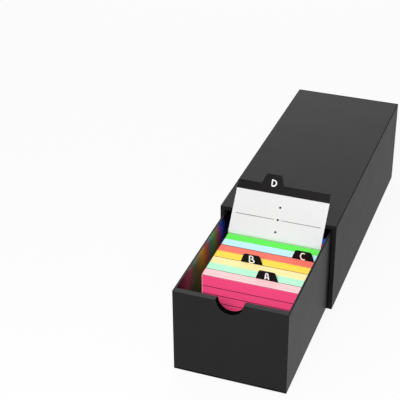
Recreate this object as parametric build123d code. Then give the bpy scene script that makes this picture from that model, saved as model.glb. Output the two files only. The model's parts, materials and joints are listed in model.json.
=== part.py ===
from build123d import *
import os
from math import radians

# Index card box: a paper-covered board sleeve with a sliding drawer of card packs and dividers.
# Millimetres, +Z up. The origin is the centre of the sleeve's underside; the drawer pulls out to -Y.

# Sleeve, outside sizes and layers
SLEEVE_WIDTH = 160.0
SLEEVE_HEIGHT = 133.0
SLEEVE_LENGTH = 380.0
SLEEVE_BOARD = 4.8
SLEEVE_PAPER = 0.4
SLEEVE_CORNER = 0.9
BASE_TURN_IN = 16.0
BASE_INSET = 2.0

# Drawer
DRAWER_SIDE_GAP = 0.8
DRAWER_FLOOR_GAP = 0.3
DRAWER_TOP = 124.5
DRAWER_LENGTH = 372.0
DRAWER_OUT = 193.0
DRAWER_BOARD = 2.0
DRAWER_PAPER = 0.2
DRAWER_CORNER = 0.4
FRONT_BOARD = 3.8
NOTCH_RADIUS = 17.2
NOTCH_CORNER = 2.2

# Cards and dividers
CARD_WIDTH = 127.0
CARD_HEIGHT = 97.0
CARDS_SHIFT = 1.5
CARDS_REST_GAP = 0.3
PACK_THICKNESS = 13.7
PACK_GAP = 0.5
PACK_CORNER = 0.8
FIRST_PACK_FROM_MOUTH = 121.5
DIVIDER_CARD = 0.4
DIVIDER_STRIP = 0.8
DIVIDER_GAP = 0.3
DIVIDER_DROP = 0.6
STRIP_HEIGHT = 12.0
STRIP_FOLD = 0.25
TAB_HEIGHT = 13.5
TAB_BASE = 30.0
TAB_TOP = 21.0
TAB_CORNER = 3.5
RAISED_LENGTH = 74.0
RAISED_LEAN = 37.4
RAISED_BEND = 10.0

# Places worked out from the sizes above
mouth = -SLEEVE_LENGTH / 2
rear = SLEEVE_LENGTH / 2
half = SLEEVE_WIDTH / 2
sleeve_wall = SLEEVE_PAPER + SLEEVE_BOARD + SLEEVE_PAPER
sleeve_inside = half - sleeve_wall
ceiling = SLEEVE_HEIGHT - sleeve_wall
board_out = half - SLEEVE_PAPER
board_in = board_out - SLEEVE_BOARD

drawer_half = sleeve_inside - DRAWER_SIDE_GAP
drawer_bottom = sleeve_wall + DRAWER_FLOOR_GAP
drawer_front = mouth - DRAWER_OUT
drawer_back = drawer_front + DRAWER_LENGTH
side_out = drawer_half - DRAWER_PAPER
side_in = side_out - DRAWER_BOARD
lining_in = side_in - DRAWER_PAPER
boards_low = drawer_bottom + DRAWER_PAPER
boards_top = DRAWER_TOP - DRAWER_PAPER
floor_top = boards_low + DRAWER_BOARD
inside_floor = floor_top + DRAWER_PAPER
front_split = drawer_front + DRAWER_PAPER + FRONT_BOARD
front_in = front_split + FRONT_BOARD
inside_front = front_in + DRAWER_PAPER
back_in = drawer_back - DRAWER_PAPER - DRAWER_BOARD
inside_back = back_in - DRAWER_PAPER

cards_left = CARDS_SHIFT - CARD_WIDTH / 2
cards_right = CARDS_SHIFT + CARD_WIDTH / 2
cards_bottom = inside_floor + CARDS_REST_GAP
cards_top = cards_bottom + CARD_HEIGHT

# How far a cutting block runs past the faces that it cuts
PAST = 50.0


def block(x0, x1, y0, y1, z0, z1):
    """A board or sheet from its two corners."""
    return Pos((x0 + x1) / 2, (y0 + y1) / 2, (z0 + z1) / 2) * Box(x1 - x0, y1 - y0, z1 - z0)


def save(name, solid):
    """Writes one piece, after giving it its name."""
    solid.label = name
    export_step(solid, os.path.join("parts", name + ".step"))


def sleeve_boards():
    """Top and bottom span the full width, the sides stand between them, the back closes the far end."""
    front = mouth + SLEEVE_PAPER
    end = rear - SLEEVE_PAPER
    low = 2 * SLEEVE_PAPER
    high = SLEEVE_HEIGHT - SLEEVE_PAPER
    side_low = sleeve_wall - SLEEVE_PAPER
    side_high = ceiling + SLEEVE_PAPER
    return {
        "sleeve_top_board": block(-board_out, board_out, front, end, side_high, high),
        "sleeve_bottom_board": block(-board_out, board_out, front, end, low, side_low),
        "sleeve_left_board": block(-board_out, -board_in, front, end, side_low, side_high),
        "sleeve_right_board": block(board_in, board_out, front, end, side_low, side_high),
        "sleeve_back_board": block(-board_in, board_in, end - SLEEVE_BOARD, end, side_low, side_high),
    }


def sleeve_cover_paper():
    """One sheet round the top and both sides, over the mouth's rim and turned in under the bottom."""
    outer = block(-half, half, mouth, rear - SLEEVE_PAPER, SLEEVE_PAPER, SLEEVE_HEIGHT)
    long_edges = outer.edges().filter_by(Axis.Y)
    rim_edges = outer.faces().sort_by(Axis.Y)[0].edges()
    outer = fillet(long_edges + rim_edges, SLEEVE_CORNER)
    boards = block(
        -board_out, board_out, mouth + SLEEVE_PAPER, rear, 2 * SLEEVE_PAPER, SLEEVE_HEIGHT - SLEEVE_PAPER
    )
    opening = block(-sleeve_inside, sleeve_inside, mouth - PAST, mouth + PAST, sleeve_wall, ceiling)
    turn = half - BASE_TURN_IN
    underside = block(-turn, turn, mouth + BASE_TURN_IN, rear, 0, 2 * SLEEVE_PAPER)
    return outer - boards - opening - underside


def sleeve_back_paper():
    """The sheet over the closed end, its outer edges eased."""
    sheet = block(-half, half, rear - SLEEVE_PAPER, rear, SLEEVE_PAPER, SLEEVE_HEIGHT)
    corners = sheet.edges().filter_by(Axis.Y)
    return fillet(corners, SLEEVE_CORNER)


def sleeve_base_sheet():
    """The sheet that covers the turned-in edges and fills the space between them."""
    turn = half - BASE_TURN_IN
    sheet = block(
        -half + BASE_INSET, half - BASE_INSET, mouth + BASE_INSET, rear - BASE_INSET, 0, SLEEVE_PAPER
    )
    middle = block(-turn, turn, mouth + BASE_TURN_IN, rear - BASE_INSET, SLEEVE_PAPER, 2 * SLEEVE_PAPER)
    return sheet + middle


def sleeve_lining():
    """A lining pasted on all four inner walls and the back."""
    low = sleeve_wall - SLEEVE_PAPER
    high = ceiling + SLEEVE_PAPER
    end = rear - sleeve_wall
    outer = block(-board_in, board_in, mouth + SLEEVE_PAPER, end + SLEEVE_PAPER, low, high)
    space = block(-sleeve_inside, sleeve_inside, mouth - PAST, end, sleeve_wall, ceiling)
    return outer - space


def front_panel(half_width, y0, y1, top, radius, corner):
    """A layer of the drawer's front: a rectangle with the thumb notch and its rounded shoulders."""
    middle = (boards_low + top) / 2
    outline = Pos(0, middle) * Rectangle(2 * half_width, top - boards_low)
    outline -= Pos(0, DRAWER_TOP) * Circle(radius)
    top_points = outline.vertices().group_by(Axis.Y)[-1]
    shoulders = top_points.sort_by(Axis.X)[1:-1]
    outline = fillet(shoulders, corner)
    return Pos(0, y1, 0) * Rot(90, 0, 0) * extrude(outline, y1 - y0)


def drawer_boards():
    """Floor, back and inner front lie between the sides; the outer front covers the sides' ends."""
    end = drawer_back - DRAWER_PAPER
    board_radius = NOTCH_RADIUS + DRAWER_PAPER
    board_corner = NOTCH_CORNER - DRAWER_PAPER
    front_face = drawer_front + DRAWER_PAPER
    return {
        "drawer_floor_board": block(-side_in, side_in, front_in, back_in, boards_low, floor_top),
        "drawer_left_board": block(-side_out, -side_in, front_split, end, boards_low, boards_top),
        "drawer_right_board": block(side_in, side_out, front_split, end, boards_low, boards_top),
        "drawer_back_board": block(-side_in, side_in, back_in, end, boards_low, boards_top),
        "drawer_front_outer_board": front_panel(
            side_out, front_face, front_split, boards_top, board_radius, board_corner
        ),
        "drawer_front_inner_board": front_panel(
            side_in, front_split, front_in, boards_top, board_radius, board_corner
        ),
    }


def drawer_cover_paper():
    """The outside sheet: over all four walls and their tops, and through the thumb notch."""
    outer = front_panel(drawer_half, drawer_front, inside_front, DRAWER_TOP, NOTCH_RADIUS, NOTCH_CORNER)
    outer += block(-drawer_half, drawer_half, inside_front, drawer_back, boards_low, DRAWER_TOP)
    upright = outer.edges().filter_by(Axis.Z).group_by(Axis.X)
    outer = fillet(upright[0] + upright[-1], DRAWER_CORNER)
    boards = front_panel(
        side_out,
        drawer_front + DRAWER_PAPER,
        inside_front,
        boards_top,
        NOTCH_RADIUS + DRAWER_PAPER,
        NOTCH_CORNER - DRAWER_PAPER,
    )
    walls = block(-side_out, side_out, inside_front, drawer_back - DRAWER_PAPER, 0, boards_top)
    opening = block(-lining_in, lining_in, inside_front, inside_back, 0, DRAWER_TOP + PAST)
    return outer - boards - walls - opening


def drawer_lining():
    """A lining pasted on the floor and the four walls, cut out round the notch."""
    outer = block(-side_in, side_in, front_in, back_in, floor_top, boards_top)
    space = block(-lining_in, lining_in, inside_front, inside_back, inside_floor, boards_top + PAST)
    uncut = block(-side_in, side_in, inside_front, back_in, 0, DRAWER_TOP)
    front = front_panel(
        side_in, front_in, inside_front, boards_top, NOTCH_RADIUS + DRAWER_PAPER, NOTCH_CORNER - DRAWER_PAPER
    )
    return (outer - space) & (uncut + front)


def drawer_base_paper():
    """The sheet under the floor and the wall bottoms."""
    return block(-drawer_half, drawer_half, drawer_front, drawer_back, drawer_bottom, boards_low)


def card_pack(y0):
    """One pack of cards on edge, its upright corners rounded like the cards' own."""
    pack = block(cards_left, cards_right, y0, y0 + PACK_THICKNESS, cards_bottom, cards_top)
    return fillet(pack.edges().filter_by(Axis.Y), PACK_CORNER)


def tab_strip(tab_centre):
    """A strip folded over a card's top edge, with an index tab; its fold lies at y = 0, z = 0."""
    band = block(-CARD_WIDTH / 2, CARD_WIDTH / 2, -DIVIDER_STRIP / 2, DIVIDER_STRIP / 2, -STRIP_HEIGHT, 0)
    slit = block(-CARD_WIDTH, CARD_WIDTH, -DIVIDER_CARD / 2, DIVIDER_CARD / 2, -PAST, -STRIP_FOLD)
    outline = make_face(
        Polyline(
            (-TAB_BASE / 2, -STRIP_FOLD),
            (TAB_BASE / 2, -STRIP_FOLD),
            (TAB_BASE / 2, 0),
            (TAB_TOP / 2, TAB_HEIGHT),
            (-TAB_TOP / 2, TAB_HEIGHT),
            (-TAB_BASE / 2, 0),
            close=True,
        )
    )
    outline = fillet(outline.vertices().group_by(Axis.Y)[-1], TAB_CORNER)
    tab = Pos(tab_centre, DIVIDER_STRIP / 2, 0) * Rot(90, 0, 0) * extrude(outline, DIVIDER_STRIP)
    return (band - slit) + tab


def upright_divider(y, tab_centre):
    """A divider standing a little lower than the packs: its card, and the strip on its top edge."""
    front = y - DIVIDER_CARD / 2
    back = y + DIVIDER_CARD / 2
    fold = cards_top - DIVIDER_DROP
    card = block(cards_left, cards_right, front, back, cards_bottom, fold - STRIP_FOLD)
    return card, Pos(CARDS_SHIFT, y, fold) * tab_strip(tab_centre)


def bent_line(y, offset):
    """One face of the raised card seen from the side: up its slot, round the bend, and along the lean."""
    foot = cards_top - (CARD_HEIGHT - RAISED_LENGTH)
    bend_length = RAISED_BEND * radians(RAISED_LEAN)
    rise = Line((y - offset, foot), (y - offset, cards_top))
    bend = JernArc(rise @ 1, rise % 1, RAISED_BEND + offset, -RAISED_LEAN)
    lean = Line(bend @ 1, bend @ 1 + (bend % 1) * (RAISED_LENGTH - bend_length - STRIP_FOLD))
    return [rise, bend, lean]


def raised_divider(y, tab_centre):
    """The divider that is pulled up: upright in its slot, then bent back to lean on the sleeve."""
    front = bent_line(y, DIVIDER_CARD / 2)
    back = bent_line(y, -DIVIDER_CARD / 2)
    foot = Line(front[0] @ 0, back[0] @ 0)
    head = Line(front[-1] @ 1, back[-1] @ 1)
    section = make_face([*front, head, *back, foot])
    card = Pos(cards_left, 0, 0) * extrude(Plane.YZ * section, CARD_WIDTH)
    lean = bent_line(y, 0)[-1]
    fold = lean @ 1 + (lean % 1) * STRIP_FOLD
    strip = Pos(CARDS_SHIFT, fold.X, fold.Y) * Rot(-RAISED_LEAN, 0, 0) * tab_strip(tab_centre)
    return card, strip


os.makedirs("parts", exist_ok=True)

for name, board in {**sleeve_boards(), **drawer_boards()}.items():
    save(name, board)
save("sleeve_cover_paper", sleeve_cover_paper())
save("sleeve_back_paper", sleeve_back_paper())
save("sleeve_base_sheet", sleeve_base_sheet())
save("sleeve_lining", sleeve_lining())
save("drawer_cover_paper", drawer_cover_paper())
save("drawer_lining", drawer_lining())
save("drawer_base_paper", drawer_base_paper())

# The drawer's contents from front to back: packs by colour, and dividers by letter and tab's centre
ROW = [
    "pink",
    ("a", 18.0),
    "mint",
    "cream",
    ("b", -11.5),
    "yellow",
    "coral",
    ("c", 48.0),
    "sky",
    "green",
    ("d", -16.0),
    "red",
    "blue",
]
RAISED = "d"
at = mouth - FIRST_PACK_FROM_MOUTH
last_was_pack = False
for item in ROW:
    if isinstance(item, str):
        at += PACK_GAP if last_was_pack else 0
        save("cards_" + item, card_pack(at))
        at += PACK_THICKNESS
        last_was_pack = True
        continue
    letter, tab_centre = item
    at += DIVIDER_GAP + DIVIDER_STRIP / 2
    make = raised_divider if letter == RAISED else upright_divider
    card, strip = make(at, tab_centre)
    save("divider_" + letter + "_card", card)
    save("divider_" + letter + "_tab_strip", strip)
    at += DIVIDER_STRIP / 2 + DIVIDER_GAP
    last_was_pack = False
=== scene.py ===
import json
import math

import bpy
import numpy as np
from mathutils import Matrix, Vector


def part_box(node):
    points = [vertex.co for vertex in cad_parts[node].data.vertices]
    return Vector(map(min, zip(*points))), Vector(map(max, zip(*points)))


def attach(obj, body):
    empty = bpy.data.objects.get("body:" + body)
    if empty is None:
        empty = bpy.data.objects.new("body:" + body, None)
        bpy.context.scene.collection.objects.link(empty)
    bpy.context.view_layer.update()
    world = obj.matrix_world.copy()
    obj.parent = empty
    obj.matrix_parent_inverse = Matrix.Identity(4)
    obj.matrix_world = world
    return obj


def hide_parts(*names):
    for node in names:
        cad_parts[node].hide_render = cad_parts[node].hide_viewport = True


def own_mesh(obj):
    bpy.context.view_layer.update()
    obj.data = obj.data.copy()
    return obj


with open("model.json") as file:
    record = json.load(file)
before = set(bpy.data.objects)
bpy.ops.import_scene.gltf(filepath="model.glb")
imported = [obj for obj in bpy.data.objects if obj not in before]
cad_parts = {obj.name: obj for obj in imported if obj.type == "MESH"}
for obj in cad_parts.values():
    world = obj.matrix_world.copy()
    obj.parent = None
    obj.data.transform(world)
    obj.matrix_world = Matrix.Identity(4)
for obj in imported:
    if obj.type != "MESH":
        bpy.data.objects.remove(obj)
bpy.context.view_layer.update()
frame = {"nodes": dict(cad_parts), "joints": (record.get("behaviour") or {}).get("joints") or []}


# Grey board
# The stiff core of sleeve and drawer: bookbinder's grey board, cut square and glued edge to edge, then
# papered over on every side. It is pressed from waste paper, so its colour is mottled and its face matte.
MM = 0.001
PULP_FLECK = 1.2 * MM
PULP_CLOUD = 9 * MM
FLECK_DETAIL = 4
FLECK_SHARE = 0.6
PULP_DARK = (120, 116, 108)
PULP_PALE = (168, 163, 153)
PULP_RELIEF = 0.08 * MM
PULP_ROUGH = 0.95
PULP_GLOSS = 0.2
nodes = frame["nodes"]


class Wire:
    """A shader socket as a number: sums and products add Math nodes, and node() adds any other node."""

    def __init__(self, tree, socket=None):
        self.tree = tree
        self.socket = socket

    def node(self, kind, settings=None, inputs=None, out=0):
        """Adds a node of that kind: its settings first, then the value or the link of each input."""
        made = self.tree.nodes.new("ShaderNode" + kind)
        for key, value in (settings or {}).items():
            setattr(made, key, value)
        for key, value in (inputs or {}).items():
            if isinstance(value, Wire):
                self.tree.links.new(value.socket, made.inputs[key])
            else:
                made.inputs[key].default_value = value
        return Wire(self.tree, made.outputs[out] if made.outputs else None)

    def math(self, operation, *values):
        """A Math node on these values or links."""
        return self.node("Math", {"operation": operation}, dict(enumerate(values)))

    def __add__(self, other):
        return self.math("ADD", self, other)

    def __sub__(self, other):
        return self.math("SUBTRACT", self, other)

    def __rsub__(self, other):
        return self.math("SUBTRACT", other, self)

    def __mul__(self, other):
        return self.math("MULTIPLY", self, other)

    def __truediv__(self, other):
        return self.math("DIVIDE", self, other)

    def __abs__(self):
        return self.math("ABSOLUTE", self)

    __radd__ = __add__
    __rmul__ = __mul__

    def larger(self, other):
        """The larger of this value and another."""
        return self.math("MAXIMUM", self, other)

    def smaller(self, other):
        """The smaller of this value and another."""
        return self.math("MINIMUM", self, other)

    def below(self, edge, soft):
        """1 where the value is under the edge and 0 over it, with a soft step of that width."""
        step = {"Value": self, "From Min": edge - soft / 2, "From Max": edge + soft / 2}
        return self.node("MapRange", {"interpolation_type": "SMOOTHSTEP"}, {**step, "To Min": 1, "To Max": 0})

    def blend(self, first, second):
        """The first number where this value is 0, the second where it is 1."""
        return self * (second - first) + first

    def mix(self, first, second):
        """The first colour where this value is 0, the second where it is 1. A Mix node takes its colours at
        sockets 6 and 7 and gives one at 2."""
        return self.node("Mix", {"data_type": "RGBA"}, {0: self, 6: first, 7: second}, 2)

    def noise(self, size, detail=2):
        """Cloudy noise from 0 to 1 over this place, with patches of about that size."""
        return self.node("TexNoise", {}, {"Vector": self, "Scale": 1 / size, "Detail": detail})

    def xyz(self):
        """The three parts of a vector."""
        return [self.node("SeparateXYZ", {}, {0: self}, part) for part in range(3)]

    def surface(self, relief, depth, **sockets):
        """A surface with these sockets, raised by up to that depth where the relief is 1."""
        normal = self.node("Bump", {}, {"Height": relief, "Distance": depth})
        inputs = {key.replace("_", " "): value for key, value in sockets.items()}
        return self.node("BsdfPrincipled", {}, {**inputs, "Normal": normal})


def finish(name, make):
    """A material whose surface is what make returns for a place on its piece."""
    material = bpy.data.materials.new(name)
    material.use_nodes = True
    material.node_tree.nodes.clear()
    wire = Wire(material.node_tree)
    made = make(wire.node("TexCoord", out="Object"))
    wire.node("OutputMaterial", {}, {"Surface": made})
    return material


def seen(red, green, blue, share=1.0):
    """A colour written as it looks on a screen, 0 to 255, as the light that a shader works with, times a
    share. The curve is the screen's own: a short straight start, then a power of 2.4."""
    level = np.array([red, green, blue]) / 255
    light = np.where(level <= 0.04045, level / 12.92, ((level + 0.055) / 1.055) ** 2.4) * share
    return (*light.tolist(), 1.0)


def dress(material, *names):
    """Gives a material to the named solids."""
    for name in names:
        nodes[name].data.materials.clear()
        nodes[name].data.materials.append(material)


def pressed_pulp(place):
    """Mottled grey: small flecks over larger clouds of pulp."""
    flecks = place.noise(PULP_FLECK, FLECK_DETAIL)
    clouds = place.noise(PULP_CLOUD)
    mottle = flecks * FLECK_SHARE + clouds * (1 - FLECK_SHARE)
    return place.surface(
        flecks,
        PULP_RELIEF,
        Base_Color=mottle.mix(seen(*PULP_DARK), seen(*PULP_PALE)),
        Roughness=PULP_ROUGH,
        Specular_IOR_Level=PULP_GLOSS,
    )


dress(finish("grey_board", pressed_pulp), *[name for name in nodes if name.endswith("_board")])


# Cover paper of the sleeve
# Black satin paper, wrapped tight round the boards and turned over the mouth's rim. It is dark seen
# straight on and pale where light glances off it. Along its long edges and round the back panel it is
# darkened flat black as painted shade.
# Width, softness and darkness of the painted shade along the paper's edges; the soft step also serves the
# raised divider's painted shade.
EDGE_SHADE_WIDTH = 0.8 * MM
REAR_SHADE_WIDTH = 1.8 * MM
BASE_SHADE_WIDTH = 2.2 * MM
SHADE_SOFT = 0.5 * MM
EDGE_SHADE_DARK = 0.8
COVER_BLACK = (28, 28, 29)
COVER_ROUGH = 0.45
SLEEVE_GLOSS = 0.056
PAPER_GRAIN = 0.45 * MM
GRAIN_DETAIL = 3
PAPER_CLOUD = 40 * MM
PAPER_RELIEF = 0.01 * MM
TONE_SPREAD = 0.15
ROUGH_SPREAD = 0.12
FLAT_BLACK = (7, 7, 7)
FLAT_ROUGH = 0.9


def coated_black(place, tone, roughness, gloss, **varnish):
    """Black coated paper: a fine grain, and faint clouds in its tone and its gloss, under a varnish if it has
    one."""
    grain = place.noise(PAPER_GRAIN, GRAIN_DETAIL)
    cloud = place.noise(PAPER_CLOUD)
    mottle = (grain + cloud) / 2
    return place.surface(
        grain,
        PAPER_RELIEF,
        Base_Color=mottle.mix(seen(*tone, 1 - TONE_SPREAD), seen(*tone, 1 + TONE_SPREAD)),
        Roughness=roughness + (mottle - 0.5) * ROUGH_SPREAD,
        Specular_IOR_Level=gloss,
        **varnish,
    )


def blackened(place, share, paper):
    """The paper, flat black over that share of it: as painted shade along edges, near the drawer's front and
    where the raised card bends, and as ink on the notch's cut edge.
    """
    flat = {"Base Color": seen(*FLAT_BLACK), "Roughness": FLAT_ROUGH, "Specular IOR Level": 0.0}
    black = place.node("BsdfPrincipled", {}, flat)
    return place.node("MixShader", {}, {0: share, 1: paper, 2: black})


def sleeve_wrap(place):
    """Satin paper with painted shade along the long top and bottom edges, and a wider band of it round the
    back panel."""
    low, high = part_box("sleeve_cover_paper")
    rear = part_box("sleeve_back_paper")[1].y
    x, y, z = place.xyz()
    below_top = high.z - z
    from_side = high.x - abs(x)
    # Painted shade: bands along the long top and bottom edges and round the back panel, turned flat black.
    top_shade = below_top.larger(from_side).below(EDGE_SHADE_WIDTH, SHADE_SOFT)
    base_shade = (z - low.z).larger(from_side).below(BASE_SHADE_WIDTH, SHADE_SOFT)
    rear_shade = below_top.smaller(from_side).larger(rear - y).below(REAR_SHADE_WIDTH, SHADE_SOFT)
    painted_edge_shade = top_shade.larger(base_shade).larger(rear_shade) * EDGE_SHADE_DARK
    return blackened(place, painted_edge_shade, coated_black(place, COVER_BLACK, COVER_ROUGH, SLEEVE_GLOSS))


dress(finish("sleeve_black_paper", sleeve_wrap), "sleeve_cover_paper", "sleeve_back_paper")


# Cover paper of the drawer
# The same satin paper, over the drawer's outside and the tops of its walls, darkened flat black along its
# folds as painted shade.
# The half-round thumb notch is cut through the front, and its cut edge is inked black.
DRAWER_GLOSS = 0.105
NOTCH_REACH = 19.6 * MM
NOTCH_SOFT = 0.2 * MM
WALL_TOP = 0.1 * MM
HALF_TURNED = 0.5
TURN_SOFT = 0.2


def drawer_wrap(place):
    """Satin paper with painted shade along the side walls' top edges and round the base, and inked on the
    faces inside the notch that look neither forward nor up."""
    low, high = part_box("drawer_cover_paper")
    x, y, z = place.xyz()
    below_top = high.z - z
    from_side = high.x - abs(x)
    from_outside = from_side.smaller(y - low.y)
    # Painted shade: bands along the side walls' top edges and round the base, turned flat black.
    top_shade = below_top.larger(from_side).below(EDGE_SHADE_WIDTH, SHADE_SOFT)
    base_shade = (z - low.z).larger(from_outside).below(BASE_SHADE_WIDTH, SHADE_SOFT)
    painted_edge_shade = top_shade.larger(base_shade) * EDGE_SHADE_DARK
    in_notch = place.math("SQRT", x * x + below_top * below_top).below(NOTCH_REACH, NOTCH_SOFT)
    turned = abs(place.node("NewGeometry", out="Normal").xyz()[1])
    under_top = 1 - below_top.below(WALL_TOP, WALL_TOP)
    cut = in_notch * turned.below(HALF_TURNED, TURN_SOFT) * under_top
    return blackened(place, painted_edge_shade.larger(cut), coated_black(place, COVER_BLACK, COVER_ROUGH, DRAWER_GLOSS))


dress(finish("drawer_black_paper", drawer_wrap), "drawer_cover_paper")


# Base sheets
# The sheet pasted under the sleeve over the turned-in edges, and the one under the drawer: plain
# uncoated black paper that slides easily.
BASE_BLACK = (34, 34, 35)
BASE_ROUGH = 0.75
BASE_GLOSS = 0.15


def plain_black(place):
    """Dull black paper."""
    return coated_black(place, BASE_BLACK, BASE_ROUGH, BASE_GLOSS)


dress(finish("black_base_paper", plain_black), "sleeve_base_sheet", "drawer_base_paper")


# Linings
# Black lining paper pasted on the inner walls. It is glazed and smoother than the cover, so the drawer's
# walls mirror the coloured packs in soft streaks. Near the drawer's front, painted shade turns it flat black.
LINING_BLACK = (9, 9, 10)
LINING_ROUGH = 0.3
LINING_GLOSS = 0.8
GLAZE = {"Coat_Weight": 0.8, "Coat_IOR": 1.8, "Coat_Roughness": 0.22}
# Reach and share of the painted shade near the drawer's front.
FRONT_SHADE_REACH = 95 * MM
FRONT_SHADE_SHARE = 0.88


def glazed_black(place):
    """Black paper with a hard glaze over it, turned flat black by painted shade near the drawer's front."""
    from_front = place.xyz()[1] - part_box("drawer_lining")[0].y
    # Painted shade: the glazed lining fades to flat black towards the drawer's front.
    front_shade = from_front.below(FRONT_SHADE_REACH / 2, FRONT_SHADE_REACH) * FRONT_SHADE_SHARE
    return blackened(place, front_shade, coated_black(place, LINING_BLACK, LINING_ROUGH, LINING_GLOSS, **GLAZE))


dress(finish("black_lining_paper", glazed_black), "sleeve_lining", "drawer_lining")


# Packs of cards
# Index cards in packs of one colour, standing on edge. Each is a sheet of tinted stock, strong
# in colour on its ruled face and paler at its cut edge. No two stand quite flush. The stock glows with
# painted light, the vivid packs most.
CARDS_IN_PACK = 40
CARD_GAP = 0.02 * MM
CARD_CORNER = 0.8 * MM
CORNER_STEPS = 3
CARD_SLIP = 0.2 * MM
CARD_DROP = 0.25 * MM
PACK_SPREAD = 0.2 * MM
FIRST_RULE = 17 * MM
RULE_STEP = 11.5 * MM
RULE_WIDTH = 1.05 * MM
RULE_SOFT = 0.2 * MM
RULE_START_SOFT = 0.02
RULE_DARK = 0.95
RULE_AND_TOP_LINE_COLOUR = seen(45, 15, 35)
TOP_LINE = 0.7 * MM
TOP_LINE_DARK = 0.9
# Width, softness and share of the painted highlight along the face's rim.
RIM = 1.0 * MM
RIM_SOFT = 0.6 * MM
RIM_HIGHLIGHT = 0.6
SIDE_TURNED = 0.7
EDGE_DEEP = 0.9
SHADE_SHARE = 0.6
STOCK_FIBRE = 0.35 * MM
FIBRE_DETAIL = 3
STOCK_RELIEF = 0.015 * MM
STOCK_ROUGH = (0.62, 0.77)
STOCK_GLOSS = 0.3
# Painted light: the stock's own colour as emission, fading down from the top; strong at the sides of vivid
# packs, faint at pastel ones.
PAINTED_FACE_GLOW_DEPTH = 90 * MM
PAINTED_FACE_GLOW = 0.2
PAINTED_SIDE_GLOW_DEPTH = 40 * MM
PAINTED_SIDE_GLOW = 0.7
PAINTED_PASTEL_GLOW = 0.05
PASTELS = ("mint", "cream", "sky")
NO_PAINTED_GLOW = (0.0, 0.0, 0.0, 1.0)
PACKS = {
    "pink": (seen(255, 76, 132), seen(242, 210, 210)),
    "mint": (seen(60, 205, 140), seen(190, 243, 213)),
    "cream": (seen(255, 180, 60), seen(245, 234, 176)),
    "yellow": (seen(255, 192, 0), seen(242, 216, 86)),
    "coral": (seen(250, 58, 25), seen(239, 128, 112)),
    "sky": (seen(80, 190, 235), seen(204, 239, 244)),
    "green": (seen(30, 205, 40), seen(110, 238, 96)),
    "red": (seen(245, 25, 40), seen(236, 60, 70)),
    "blue": (seen(35, 105, 245), seen(60, 120, 235)),
}
loose_bodies = {joint["child"] for joint in frame["joints"]}


def new_piece(name, points, faces, material):
    """A mesh object at the origin from an array of points and a list of faces."""
    mesh = bpy.data.meshes.new(name)
    mesh.from_pydata(points.reshape(-1, 3).tolist(), [], faces)
    mesh.materials.append(material)
    piece = bpy.data.objects.new(name, mesh)
    bpy.context.scene.collection.objects.link(piece)
    return piece


def stack_of_cards(name, low, high, material, seed):
    """Slabs one behind the other: each is the same rounded rectangle, carried back by one card's
    thickness, moved sideways by its own slip and lowered at the top by its own drop."""
    random = np.random.default_rng(seed)
    turn = np.radians(90) * (np.arange(4)[:, None] + np.linspace(0, 1, CORNER_STEPS + 1))
    half = (high - low) / 2
    middle = (low + high) / 2
    across = np.sign(np.cos(turn.mean(1, keepdims=True))) * (half.x - CARD_SLIP - CARD_CORNER)
    up = np.sign(np.sin(turn.mean(1, keepdims=True))) * (half.z - CARD_CORNER)
    outline_x = (across + CARD_CORNER * np.cos(turn)).ravel()
    outline_z = (up + CARD_CORNER * np.sin(turn)).ravel()
    slip = random.uniform(-CARD_SLIP, CARD_SLIP, CARDS_IN_PACK)[:, None, None]
    drop = random.uniform(0, CARD_DROP, CARDS_IN_PACK)[:, None, None]
    pitch = (high.y - low.y + 2 * PACK_SPREAD) / CARDS_IN_PACK
    front = low.y - PACK_SPREAD + pitch * np.arange(CARDS_IN_PACK) + CARD_GAP / 2
    depth = np.stack([front, front + pitch - CARD_GAP], 1)[:, :, None]
    ring = np.ones((CARDS_IN_PACK, 2, len(outline_x)))
    x = middle.x + (outline_x + slip) * ring
    z = middle.z + (outline_z - drop * (outline_z > 0)) * ring
    points = np.stack([x, depth * ring, z], -1)
    index = np.arange(ring.size).reshape(ring.shape)
    ahead = np.roll(index, -1, 2)
    edges = np.stack([index[:, 0], index[:, 1], ahead[:, 1], ahead[:, 0]], -1).reshape(-1, 4)
    faces = edges.tolist() + index[:, 0].tolist() + index[:, 1, ::-1].tolist()
    piece = new_piece(name, points, faces, material)
    shade = piece.data.attributes.new("card_shade", "FLOAT", "POINT")
    shade.data.foreach_set("value", (random.uniform(0, 1, CARDS_IN_PACK)[:, None, None] * ring).ravel())
    return piece


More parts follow.
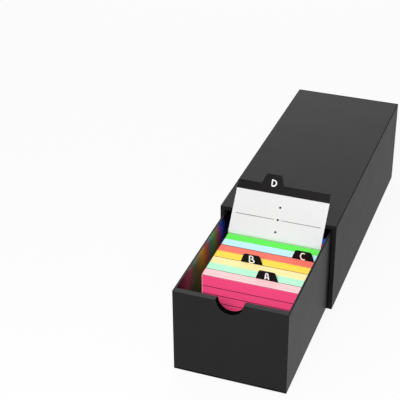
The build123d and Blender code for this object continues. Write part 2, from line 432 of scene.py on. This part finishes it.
def tinted_stock(place, low, high, face, edge, painted_side_share):
    """The face colour with dark rules and a painted highlight as a pale rim, and the edge colour along the
    cut top and bottom. The pack's front card has a dark line along its top too. The stock glows with painted
    light, less and less on the way down from the top, and at the pack's sides by the pack's own share."""
    x, y, z = place.xyz()
    depth = high.z - z
    turned = place.node("NewGeometry", out="Normal").xyz()
    is_cut = abs(turned[1]).below(HALF_TURNED, TURN_SOFT)
    is_side = 1 - abs(turned[0]).below(SIDE_TURNED, TURN_SOFT)
    is_front = turned[1].below(-HALF_TURNED, TURN_SOFT)
    is_first = (y - low.y).below(0.0, PACK_SPREAD / 2)
    rules_down = (depth - FIRST_RULE) / RULE_STEP
    to_rule = abs(place.math("FRACT", rules_down + 0.5) - 0.5) * RULE_STEP
    is_ruled = is_front * (1 - rules_down.below(-0.5, RULE_START_SOFT))
    rule = to_rule.below(RULE_WIDTH / 2, RULE_SOFT) * is_ruled * RULE_DARK
    # A dark line along the top edge of each pack's front card.
    top_line = depth.below(TOP_LINE, RULE_SOFT) * is_front * is_first * TOP_LINE_DARK
    from_side = (high.x - low.x) / 2 - abs(x - (low.x + high.x) / 2)
    # Painted highlight: a pale rim of the edge colour along the face's top and sides.
    rim_highlight = from_side.smaller(depth).below(RIM, RIM_SOFT) * RIM_HIGHLIGHT
    marked_face = top_line.mix(rim_highlight.mix(rule.mix(face, RULE_AND_TOP_LINE_COLOUR), edge), RULE_AND_TOP_LINE_COLOUR)
    fibre = place.noise(STOCK_FIBRE, FIBRE_DETAIL)
    shade = place.node("Attribute", {"attribute_name": "card_shade"}, out="Fac")
    deeper = tuple(EDGE_DEEP * part for part in edge[:3]) + (1.0,)
    cut = (shade * SHADE_SHARE + fibre * (1 - SHADE_SHARE)).mix(edge, deeper)
    colour = is_cut.mix(marked_face, is_side.mix(cut, face))
    # Painted light: emission in the stock's colour, fading down from the top, on the faces and the sides.
    painted_face_fade = depth.below(PAINTED_FACE_GLOW_DEPTH / 2, PAINTED_FACE_GLOW_DEPTH) * PAINTED_FACE_GLOW
    painted_side_fade = depth.below(PAINTED_SIDE_GLOW_DEPTH / 2, PAINTED_SIDE_GLOW_DEPTH) * painted_side_share
    return place.surface(
        fibre,
        STOCK_RELIEF,
        Base_Color=colour,
        Roughness=fibre.blend(*STOCK_ROUGH),
        Specular_IOR_Level=STOCK_GLOSS,
        Emission_Color=is_side.blend(painted_face_fade, painted_side_fade).mix(NO_PAINTED_GLOW, colour),
        Emission_Strength=1.0,
    )


for seed, (pack, (face, edge)) in enumerate(PACKS.items()):
    low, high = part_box("cards_" + pack)
    painted_side_share = PAINTED_PASTEL_GLOW if pack in PASTELS else PAINTED_SIDE_GLOW
    stock = finish(
        pack + "_card_stock",
        lambda place: tinted_stock(place, low, high, face, edge, painted_side_share),
    )
    stack = stack_of_cards(pack + "_cards", low, high, stock, seed)
    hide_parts("cards_" + pack)
    "cards_" + pack
    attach(stack, pack + "_pack" if pack + "_pack" in loose_bodies else "drawer")


# Divider cards
# A stiff white card between packs, printed with one grey line, broken in the middle, and three small black
# dots. The last is pulled up and leans back on the sleeve's front edge. Just above the packs, where it
# starts to bend, painted shade darkens it.
DOTS_UP = (12.3 * MM, 28.6 * MM, 45.2 * MM)
DOT_RADIUS = 1.55 * MM
LINE_UP = 28.6 * MM
LINE_WIDTH = 0.8 * MM
LINE_HALF = 58.5 * MM
LINE_BREAK = 5 * MM
LINE_DARK = 0.88
PRINT_SOFT = 0.2 * MM
PRINT_BLACK = seen(12, 12, 12)
DIVIDER_PALE = seen(223, 223, 224)
DIVIDER_WHITE = seen(234, 234, 235)
DIVIDER_FIBRE = 0.4 * MM
DIVIDER_RELIEF = 0.01 * MM
DIVIDER_ROUGH = (0.5, 0.6)
DIVIDER_GLOSS = 0.3
RAISED_LEAN = math.radians(37.4)
RAISED_BEND = 10 * MM
RAISED_LENGTH = 74 * MM
RISE_STEPS = 6
BEND_STEPS = 9
STRAIGHT_STEPS = 24
ACROSS_STEPS = 20
# Width and darkness of the painted shade where the raised card leaves the packs.
FOOT_SHADE_WIDTH = 0.8 * MM
FOOT_SHADE_DARK = 0.65
STRIP_FOLD = 0.25 * MM
card_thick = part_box("divider_a_card")[1].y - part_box("divider_a_card")[0].y
packs_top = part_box("cards_green")[1].z
slot_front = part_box("divider_d_card")[0].y
slot_middle = slot_front + card_thick / 2


def printed_card(place, across, up):
    """White stock with its print, from the place across the card and up from where the raised one leaves the
    packs."""
    fibre = place.noise(DIVIDER_FIBRE, FIBRE_DETAIL)
    off_middle = abs(across)
    in_line = off_middle.below(LINE_HALF, PRINT_SOFT) * (1 - off_middle.below(LINE_BREAK, PRINT_SOFT))
    ink = abs(up - LINE_UP).below(LINE_WIDTH / 2, PRINT_SOFT) * in_line * LINE_DARK
    for height in DOTS_UP:
        off = up - height
        radius = place.math("SQRT", across * across + off * off)
        ink = ink.larger(radius.below(DOT_RADIUS, PRINT_SOFT))
    return place.surface(
        fibre,
        DIVIDER_RELIEF,
        Base_Color=ink.mix(fibre.mix(DIVIDER_PALE, DIVIDER_WHITE), PRINT_BLACK),
        Roughness=fibre.blend(*DIVIDER_ROUGH),
        Specular_IOR_Level=DIVIDER_GLOSS,
    )


def standing_card(place):
    """A standing card's print hangs as far down from its top edge as on the raised one."""
    low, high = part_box("divider_a_card")
    x, z = place.xyz()[::2]
    return printed_card(place, x - (low.x + high.x) / 2, z - (high.z + STRIP_FOLD - RAISED_LENGTH))


def raised_print(place):
    """The raised card carries its own map: across from its middle, and up along its bent face. Painted shade
    darkens it in a band where it starts to bend, just above the packs."""
    across, up = place.node("UVMap", {"uv_map": "print"}).xyz()[:2]
    # Painted shade: a flat black band where the card leaves the packs.
    foot_shade = abs(up - FOOT_SHADE_WIDTH / 2).below(FOOT_SHADE_WIDTH / 2, SHADE_SOFT) * FOOT_SHADE_DARK
    return blackened(place, foot_shade, printed_card(place, across, up))


def along_raised(up):
    """Place and lean at a length up the raised card from the packs' top: upright below it, then round an arc
    of the bend's radius, then straight on at the full lean."""
    angle = np.clip(up / RAISED_BEND, 0, RAISED_LEAN)
    past = np.maximum(up - RAISED_BEND * RAISED_LEAN, 0)
    y = slot_middle + RAISED_BEND * (1 - np.cos(angle)) + past * np.sin(RAISED_LEAN)
    z = packs_top + np.minimum(up, 0) + RAISED_BEND * np.sin(angle) + past * np.cos(RAISED_LEAN)
    return y, z, angle


def bent_card(name, material):
    """A sheet carried up the raised card's path: front and back lie half a thickness to either side of it,
    and rims close the four edges."""
    low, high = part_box("divider_d_card")
    bend_end = RAISED_BEND * RAISED_LEAN
    rise = np.linspace(low.z - packs_top, 0, RISE_STEPS)
    bend = np.linspace(0, bend_end, BEND_STEPS)[1:]
    straight = np.linspace(bend_end, RAISED_LENGTH - STRIP_FOLD, STRAIGHT_STEPS)[1:]
    up = np.concatenate([rise, bend, straight])
    y, z, angle = along_raised(up)
    across = np.linspace(low.x, high.x, ACROSS_STEPS)
    side = np.array([-0.5, 0.5])[:, None] * card_thick
    section_y = (y + side * np.cos(angle))[:, :, None]
    section_z = (z - side * np.sin(angle))[:, :, None]
    grid = np.ones((2, len(up), len(across)))
    points = np.stack([across * grid, section_y * grid, section_z * grid], -1)
    front, back = np.arange(grid.size).reshape(grid.shape)

    def quads(first, second):
        """Four-cornered faces between two rows of points that run side by side."""
        ring = [first[..., :-1], first[..., 1:], second[..., 1:], second[..., :-1]]
        return np.stack(ring, -1).reshape(-1, 4).tolist()

    faces = quads(front[:-1], front[1:]) + quads(back[1:], back[:-1])
    faces += quads(back[0], front[0]) + quads(front[-1], back[-1])
    faces += quads(front[:, 0], back[:, 0]) + quads(back[:, -1], front[:, -1])
    piece = new_piece(name, points, faces, material)
    place = np.stack([(across - (low.x + high.x) / 2) * grid, up[:, None] * grid], -1).reshape(-1, 2)
    corners = np.zeros(len(piece.data.loops), np.int32)
    piece.data.loops.foreach_get("vertex_index", corners)
    piece.data.uv_layers.new(name="print").data.foreach_set("uv", place[corners].ravel())
    return piece


def ride_raised(piece):
    """The raised divider's pieces ride with it, each with a mesh of its own."""
    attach(piece, "divider_d")
    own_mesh(piece)


dress(finish("divider_stock", standing_card), "divider_a_card", "divider_b_card", "divider_c_card")
raised_card = bent_card("raised_divider_card", finish("raised_divider_stock", raised_print))
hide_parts("divider_d_card")
ride_raised(raised_card)


# Tab strips
# A strip of black coated card folded over each divider's top edge, with an index tab standing up from it.
# Smooth and nearly black, with a trace of brown. The raised one is merged into one skin.
STRIP_BLACK = (22, 20, 20)
STRIP_ROUGH = 0.45
STRIP_GLOSS = 0.06
MERGE_DIGITS = 7


def strip_card(place):
    """Brownish black coated card."""
    return coated_black(place, STRIP_BLACK, STRIP_ROUGH, STRIP_GLOSS)


strip_stock = finish("black_tab_strip", strip_card)
dress(strip_stock, "divider_a_tab_strip", "divider_b_tab_strip", "divider_c_tab_strip")
folded = nodes["divider_d_tab_strip"].data
loose_points = np.zeros(len(folded.vertices) * 3)
folded.vertices.foreach_get("co", loose_points)
points, merged = np.unique(loose_points.reshape(-1, 3).round(MERGE_DIGITS), axis=0, return_inverse=True)
corners = np.zeros(len(folded.loops), np.int32)
folded.loops.foreach_get("vertex_index", corners)
faces = merged[corners].reshape(-1, 3).tolist()
raised_strip = new_piece("raised_divider_tab_strip", points, faces, strip_stock)
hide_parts("divider_d_tab_strip")
ride_raised(raised_strip)


# Index letters
# White capitals lettered by hand on the fronts of the tabs with a paint pen, in alphabetical order from
# front to back. Each is a few round-ended strokes of one width, and later strokes lie on earlier ones.
PEN_WIDTH = 1.7 * MM
PEN_INK = 0.03 * MM
END_STEPS = 5
END_FIRST = np.radians(15)
STROKE_STEPS = 30
ARC_POINTS = 25
STRIP_THICK = 0.8 * MM
PAINT_PALE = seen(240, 240, 240)
PAINT_WHITE = seen(250, 250, 250)
PAINT_SPECK = 0.25 * MM
PAINT_RELIEF = 0.005 * MM
PAINT_ROUGH = 0.5
PAINT_GLOSS = 0.3
LETTER_PLACES = {
    "a": (18.0 * MM, 6.3 * MM),
    "b": (-11.2 * MM, 6.6 * MM),
    "c": (47.6 * MM, 6.0 * MM),
    "d": (-14.8 * MM, 2.4 * MM),
}
LETTER_STROKES = {
    "a": [
        [(-2.4, -4.6), (0.0, 3.3, 1.3, 1.3, 180, 0), (2.4, -4.7)],
        [(-1.9, -1.6), (2.0, -1.7)],
    ],
    "b": [
        [(-3.2, 5.2), (-3.0, -5.2)],
        [(-1.3, 2.8, 2.7, 2.3, 125, -70), (-1.7, 0.3), (-0.9, -2.4, 3.9, 2.7, 70, -140)],
    ],
    "c": [[(0.7, 0.0, 3.5, 4.9, 55, 310)]],
    "d": [
        [(-2.7, 4.5), (-2.5, -3.8)],
        [(-0.9, -0.6, 4.1, 3.9, 115, -120)],
    ],
}


def white_paint(place):
    """Opaque white paint, faintly speckled."""
    speck = place.noise(PAINT_SPECK)
    return place.surface(
        speck,
        PAINT_RELIEF,
        Base_Color=speck.mix(PAINT_PALE, PAINT_WHITE),
        Roughness=PAINT_ROUGH,
        Specular_IOR_Level=PAINT_GLOSS,
    )


def stroke_path(parts):
    """The middle of a stroke, part after part. A part in millimetres is a point, across and up, or an oval
    arc: its middle, its half width and half height, and the angles where it starts and ends."""
    runs = []
    for across, up, *arc in parts:
        wide, high, first, last = arc or (0, 0, 0, 0)
        turn = np.radians(np.linspace(first, last, ARC_POINTS if arc else 1))
        runs.append(np.stack([across + wide * np.cos(turn), up + high * np.sin(turn)], 1))
    return np.concatenate(runs) * MM


def pen_stroke(path, ink):
    """A flat ribbon carried along a path: half the pen's width to either side of it, less towards both ends
    by the height of a quarter circle, and as thick as its ink. Gives a ring of four points, each across, up
    and out, for every step along it."""
    along = np.append(0, np.cumsum(np.hypot(*np.diff(path, axis=0).T)))
    radius = PEN_WIDTH / 2
    turn = np.linspace(END_FIRST, np.pi / 2, END_STEPS)
    end = radius * (1 - np.cos(turn))
    body = np.linspace(radius, along[-1] - radius, STROKE_STEPS)[1:-1]
    run = np.concatenate([end, body, along[-1] - end[::-1]])
    half = radius * np.concatenate([np.sin(turn), np.ones(len(body)), np.sin(turn)[::-1]])
    across, up = [np.interp(run, along, part) for part in path.T]
    ahead = np.stack([np.gradient(across, run), np.gradient(up, run)])
    side = half * ahead / np.hypot(*ahead)
    ring_side = np.array([-1, 1, 1, -1])
    ring_out = np.array([0, 0, 1, 1]) * ink
    ring_across = across[:, None] - side[1][:, None] * ring_side
    ring_up = up[:, None] + side[0][:, None] * ring_side
    return np.stack([ring_across, ring_up, ring_out + 0 * ring_up], -1)


def hand_letter(strokes):
    """The points, across, up and out, and the faces of a letter: a closed ribbon for each of its strokes."""
    points = []
    faces = []
    for count, parts in enumerate(strokes):
        ribbon = pen_stroke(stroke_path(parts), PEN_INK * (1 + count / 2))
        ring = np.arange(ribbon[..., 0].size).reshape(-1, 4) + 4 * sum(len(made) for made in points)
        ahead = np.roll(ring, -1, 1)
        bands = np.stack([ring[:-1], ahead[:-1], ahead[1:], ring[1:]], -1).reshape(-1, 4)
        faces += bands.tolist() + [ring[0, ::-1].tolist(), ring[-1].tolist()]
        points.append(ribbon)
    return np.concatenate(points).reshape(-1, 3), faces


paint = finish("white_print", white_paint)
for letter, (centre, height) in LETTER_PLACES.items():
    low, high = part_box("divider_" + letter + "_card")
    points, faces = hand_letter(LETTER_STROKES[letter])
    across, up, out = points.T
    if letter == "d":
        fold_y, fold_z, lean = along_raised(np.array(RAISED_LENGTH))
    else:
        fold_y, fold_z, lean = (low.y + high.y) / 2, high.z + STRIP_FOLD, 0.0
    up = up + height
    out = out + STRIP_THICK / 2
    x = (low.x + high.x) / 2 + centre + across
    y = fold_y + up * np.sin(lean) - out * np.cos(lean)
    z = fold_z + up * np.cos(lean) + out * np.sin(lean)
    lettered = new_piece("letter_" + letter, np.stack([x, y, z], 1), faces, paint)
    if letter == "d":
        ride_raised(lettered)
    else:
        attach(lettered, "divider_" + letter)


# Floor and studio light
# A plain pale floor under a soft white sky. A small soft lamp in front reaches into the drawer, and a large
# one behind glances off the sleeve's top.
FLOOR_HALF = 8.0
FLOOR_WHITE = (0.9, 0.9, 0.9, 1.0)
FLOOR_GLOW = 0.9
PURE_WHITE = (1.0, 1.0, 1.0, 1.0)
SKY_LIGHT = 0.3
BACKDROP_RAYS = ("Is Camera Ray", "Is Glossy Ray", "Is Transmission Ray")


def backdrop_ray(wire):
    """1 for a ray from the camera, off a gloss or through glass, and 0 for one that only lights."""
    camera_ray, glossy_ray, glass_ray = [wire.node("LightPath", out=kind) for kind in BACKDROP_RAYS]
    return camera_ray.larger(glossy_ray).larger(glass_ray)


def pale_floor(place):
    """White, lit by the lamps, and mostly white of its own where it is the backdrop."""
    lit = place.node("BsdfDiffuse", {}, {"Color": FLOOR_WHITE})
    white = place.node("Emission", {}, {"Color": PURE_WHITE, "Strength": 1.0})
    return place.node("MixShader", {}, {0: backdrop_ray(place) * FLOOR_GLOW, 1: lit, 2: white})


ends = np.array([-1.0, 1.0]) * FLOOR_HALF
floor_points = np.stack([*np.meshgrid(ends, ends), np.zeros((2, 2))], -1)
new_piece("floor", floor_points, [[0, 1, 3, 2]], finish("white_floor", pale_floor))

world = bpy.data.worlds.new("studio")
bpy.context.scene.world = world
world.use_nodes = True
world.node_tree.nodes.clear()
sky = Wire(world.node_tree)
strength = backdrop_ray(sky).blend(SKY_LIGHT, 1)
white_sky = sky.node("Background", {}, {"Color": PURE_WHITE, "Strength": strength})
sky.node("OutputWorld", {}, {"Surface": white_sky})


def soft_lamp(name, place, target, size, power):
    """A square lamp of that size at a place, facing a target."""
    data = bpy.data.lights.new(name, "AREA")
    data.size = size
    data.energy = power
    lamp = bpy.data.objects.new(name, data)
    lamp.location = place
    away = lamp.location - type(lamp.location)(target)
    lamp.rotation_euler = away.to_track_quat("Z", "Y").to_euler()
    bpy.context.scene.collection.objects.link(lamp)


soft_lamp("front_lamp", place=(0.13, -1.27, 0.99), target=(0, -0.25, 0.1), size=0.4, power=14.8)
soft_lamp("rear_lamp", place=(-0.9, 2.4, 1.65), target=(0, 0, 0.13), size=2.4, power=40.0)


# Camera
# A long lens above the drawer's front right corner, looking down into the open drawer. Its place, its turn
# and its lens come from the box's own corners as they stand in the photograph.
SENSOR_WIDTH = 36.0
LENS = 103.93
CAMERA_PLACE = (0.3591, -1.4347, 0.9371)
CAMERA_TURN = (58.927, 0.468, 20.326)

camera_data = bpy.data.cameras.new("camera")
camera_data.sensor_width = SENSOR_WIDTH
camera_data.lens = LENS
camera = bpy.data.objects.new("camera", camera_data)
camera.location = CAMERA_PLACE
camera.rotation_euler = [math.radians(angle) for angle in CAMERA_TURN]
bpy.context.scene.collection.objects.link(camera)
bpy.context.scene.camera = camera
bpy.context.scene.view_settings.view_transform = "Standard"
